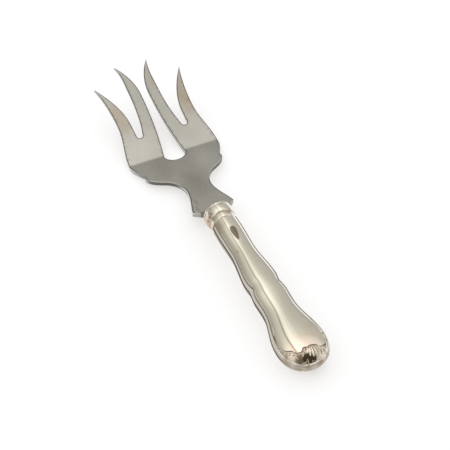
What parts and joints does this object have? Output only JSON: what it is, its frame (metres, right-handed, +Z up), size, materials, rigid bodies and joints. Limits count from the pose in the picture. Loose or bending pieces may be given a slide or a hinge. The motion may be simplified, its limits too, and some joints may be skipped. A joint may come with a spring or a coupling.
{
  "type": "cake fork",
  "caption": "Cake serving fork: a flat-cut head with four curved tines and a cranked palm, on a hollow threaded handle with a shell end.",
  "frame": {"origin": "middle of the box's underside, on the surface the fork rests on", "axes": "+Y along the fork towards the tine tips, +Z up, +X to the right when looking along +Y"},
  "size_m": [0.0462, 0.1948, 0.0177],
  "materials": {
    "steel": "satin",
    "silver": "polished",
    "cement": "matte"
  },
  "bodies": {
    "root": {"fork_head": "steel", "handle_front": "silver", "handle_back": "silver", "collar": "silver", "collar_cap": "silver", "handle_filler": "cement"}
  },
  "joints": []
}
